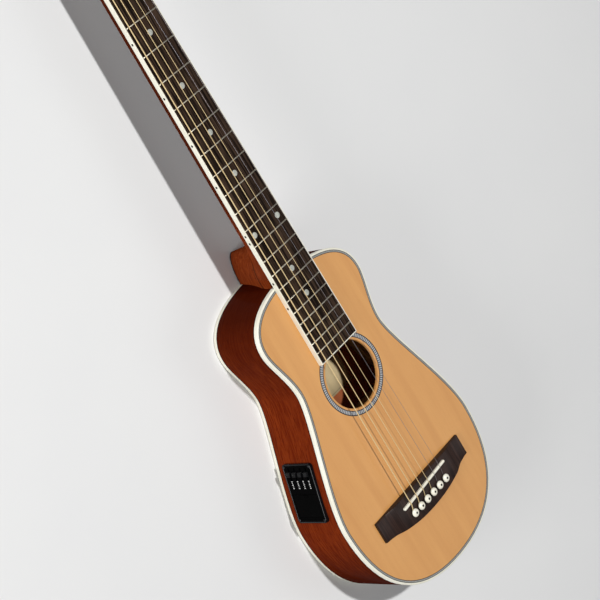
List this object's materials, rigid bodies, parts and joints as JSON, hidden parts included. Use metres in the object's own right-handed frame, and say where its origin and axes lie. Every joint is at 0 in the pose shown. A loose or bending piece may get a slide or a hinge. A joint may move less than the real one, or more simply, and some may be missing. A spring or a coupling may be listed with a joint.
{
  "type": "travel guitar",
  "caption": "Small steel-string travel guitar with a narrow hourglass body, bound spruce top, bound fingerboard, side preamp with faders and worm-geared tuners.",
  "frame": {"origin": "centre of the bounding box at its lowest level, on the surface that the guitar's back rests on", "axes": "+X from the headstock to the tail, +Y to the treble side, +Z out of the back through the soundboard, square to the flat back"},
  "size_m": [0.8532, 0.21, 0.0829],
  "materials": {
    "spruce_top": "clear gloss lacquer over straight-grained spruce",
    "body_mahogany": "gloss lacquer over dark red-brown mahogany",
    "neck_mahogany": "satin lacquer over mahogany",
    "rosewood": "oiled, open-grained dark rosewood",
    "inner_wood": "bare planed spruce",
    "cream_plastic": "polished cream binding plastic",
    "purfling": "grey and white wood rope inlay under lacquer",
    "ivory_plastic": "polished ivory-coloured plastic",
    "black_plastic": "satin moulded black plastic",
    "headstock_face": "gloss lacquer over a dark veneer",
    "tuner_metal": "nickel-chrome plated steel",
    "steel": "plain drawn steel",
    "bronze_winding": "bronze-wound steel string",
    "pickup_strip": "brass strip",
    "battery_case": "painted metal battery case with no marks"
  },
  "bodies": {
    "guitar": {"string_1": "steel", "string_2": "steel", "string_3": "bronze_winding", "string_4": "bronze_winding", "string_5": "bronze_winding", "string_6": "bronze_winding", "soundboard": "spruce_top", "top_purfling": "purfling", "rosette": "purfling", "top_binding": "cream_plastic", "back_binding": "cream_plastic", "back": "body_mahogany", "side_bass": "body_mahogany", "side_treble": "body_mahogany", "top_lining": "inner_wood", "back_lining": "inner_wood", "neck_block": "inner_wood", "tail_block": "inner_wood", "bridge_plate": "inner_wood", "x_brace": "inner_wood", "back_bracing": "inner_wood", "bridge": "rosewood", "saddle_pickup": "pickup_strip", "saddle": "ivory_plastic", "bridge_pin_1": "ivory_plastic", "bridge_pin_2": "ivory_plastic", "bridge_pin_3": "ivory_plastic", "bridge_pin_4": "ivory_plastic", "bridge_pin_5": "ivory_plastic", "bridge_pin_6": "ivory_plastic", "fingerboard": "rosewood", "fingerboard_binding": "cream_plastic", "nut": "ivory_plastic", "neck": "neck_mahogany", "heel": "neck_mahogany", "heel_cap": "rosewood", "truss_rod": "steel", "end_pin_jack": "tuner_metal", "headstock_veneer": "headstock_face", "tuner_plate_treble": "tuner_metal", "tuner_plate_bass": "tuner_metal", "preamp": "black_plastic", "battery": "battery_case"},
    "tuner_post_1": {"tuner_post_1": "tuner_metal"},
    "tuner_post_2": {"tuner_post_2": "tuner_metal"},
    "tuner_post_3": {"tuner_post_3": "tuner_metal"},
    "tuner_post_4": {"tuner_post_4": "tuner_metal"},
    "tuner_post_5": {"tuner_post_5": "tuner_metal"},
    "tuner_post_6": {"tuner_post_6": "tuner_metal"},
    "tuner_button_1": {"tuner_button_1": "cream_plastic"},
    "tuner_button_2": {"tuner_button_2": "cream_plastic"},
    "tuner_button_3": {"tuner_button_3": "cream_plastic"},
    "tuner_button_4": {"tuner_button_4": "cream_plastic"},
    "tuner_button_5": {"tuner_button_5": "cream_plastic"},
    "tuner_button_6": {"tuner_button_6": "cream_plastic"},
    "fader_1": {"fader_1": "black_plastic"},
    "fader_2": {"fader_2": "black_plastic"},
    "fader_3": {"fader_3": "black_plastic"},
    "fader_4": {"fader_4": "black_plastic"},
    "battery_door": {"battery_door": "black_plastic"}
  },
  "joints": [
    {"name": "tuner_button_1_turn", "type": "hinge", "parent": "guitar", "child": "tuner_button_1", "pos_m": [-0.31147, 0.02286, 0.03293], "axis": [0, 1, 0], "continuous": true},
    {"name": "tuner_post_1_turn", "type": "hinge", "parent": "guitar", "child": "tuner_post_1", "pos_m": [-0.30691, 0.02286, 0.0522], "axis": [-0.262, 0, 0.9651], "continuous": true},
    {"name": "tuner_button_2_turn", "type": "hinge", "parent": "guitar", "child": "tuner_button_2", "pos_m": [-0.35008, 0.02286, 0.02245], "axis": [0, 1, 0], "continuous": true},
    {"name": "tuner_post_2_turn", "type": "hinge", "parent": "guitar", "child": "tuner_post_2", "pos_m": [-0.34551, 0.02286, 0.04172], "axis": [-0.262, 0, 0.9651], "continuous": true},
    {"name": "tuner_button_3_turn", "type": "hinge", "parent": "guitar", "child": "tuner_button_3", "pos_m": [-0.38868, 0.02286, 0.01197], "axis": [0, 1, 0], "continuous": true},
    {"name": "tuner_post_3_turn", "type": "hinge", "parent": "guitar", "child": "tuner_post_3", "pos_m": [-0.38412, 0.02286, 0.03124], "axis": [-0.262, 0, 0.9651], "continuous": true},
    {"name": "tuner_button_4_turn", "type": "hinge", "parent": "guitar", "child": "tuner_button_4", "pos_m": [-0.38868, -0.02114, 0.01197], "axis": [0, 1, 0], "continuous": true},
    {"name": "tuner_post_4_turn", "type": "hinge", "parent": "guitar", "child": "tuner_post_4", "pos_m": [-0.38412, -0.02114, 0.03124], "axis": [-0.262, 0, 0.9651], "continuous": true},
    {"name": "tuner_button_5_turn", "type": "hinge", "parent": "guitar", "child": "tuner_button_5", "pos_m": [-0.35008, -0.02114, 0.02245], "axis": [0, 1, 0], "continuous": true},
    {"name": "tuner_post_5_turn", "type": "hinge", "parent": "guitar", "child": "tuner_post_5", "pos_m": [-0.34551, -0.02114, 0.04172], "axis": [-0.262, 0, 0.9651], "continuous": true},
    {"name": "tuner_button_6_turn", "type": "hinge", "parent": "guitar", "child": "tuner_button_6", "pos_m": [-0.31147, -0.02114, 0.03293], "axis": [0, 1, 0], "continuous": true},
    {"name": "tuner_post_6_turn", "type": "hinge", "parent": "guitar", "child": "tuner_post_6", "pos_m": [-0.30691, -0.02114, 0.0522], "axis": [-0.262, 0, 0.9651], "continuous": true},
    {"name": "fader_1_slide", "type": "slide", "parent": "guitar", "child": "fader_1", "axis": [0.9523, -0.3045, 0.0198], "range_m": [-0.005, 0.005]},
    {"name": "fader_2_slide", "type": "slide", "parent": "guitar", "child": "fader_2", "axis": [0.9523, -0.3045, 0.0198], "range_m": [-0.005, 0.005]},
    {"name": "fader_3_slide", "type": "slide", "parent": "guitar", "child": "fader_3", "axis": [0.9523, -0.3045, 0.0198], "range_m": [-0.005, 0.005]},
    {"name": "fader_4_slide", "type": "slide", "parent": "guitar", "child": "fader_4", "axis": [0.9523, -0.3045, 0.0198], "range_m": [-0.005, 0.005]},
    {"name": "battery_door_hinge", "type": "hinge", "parent": "guitar", "child": "battery_door", "pos_m": [0.28235, -0.10244, 0.03593], "axis": [-0.0208, 0, 0.9998], "range_deg": [0, 90]}
  ],
  "couplings": [
    {"joint": "tuner_post_1_turn", "follows": "tuner_button_1_turn", "ratio": 0.083333},
    {"joint": "tuner_post_2_turn", "follows": "tuner_button_2_turn", "ratio": 0.083333},
    {"joint": "tuner_post_3_turn", "follows": "tuner_button_3_turn", "ratio": 0.083333},
    {"joint": "tuner_post_4_turn", "follows": "tuner_button_4_turn", "ratio": 0.083333},
    {"joint": "tuner_post_5_turn", "follows": "tuner_button_5_turn", "ratio": 0.083333},
    {"joint": "tuner_post_6_turn", "follows": "tuner_button_6_turn", "ratio": 0.083333}
  ]
}
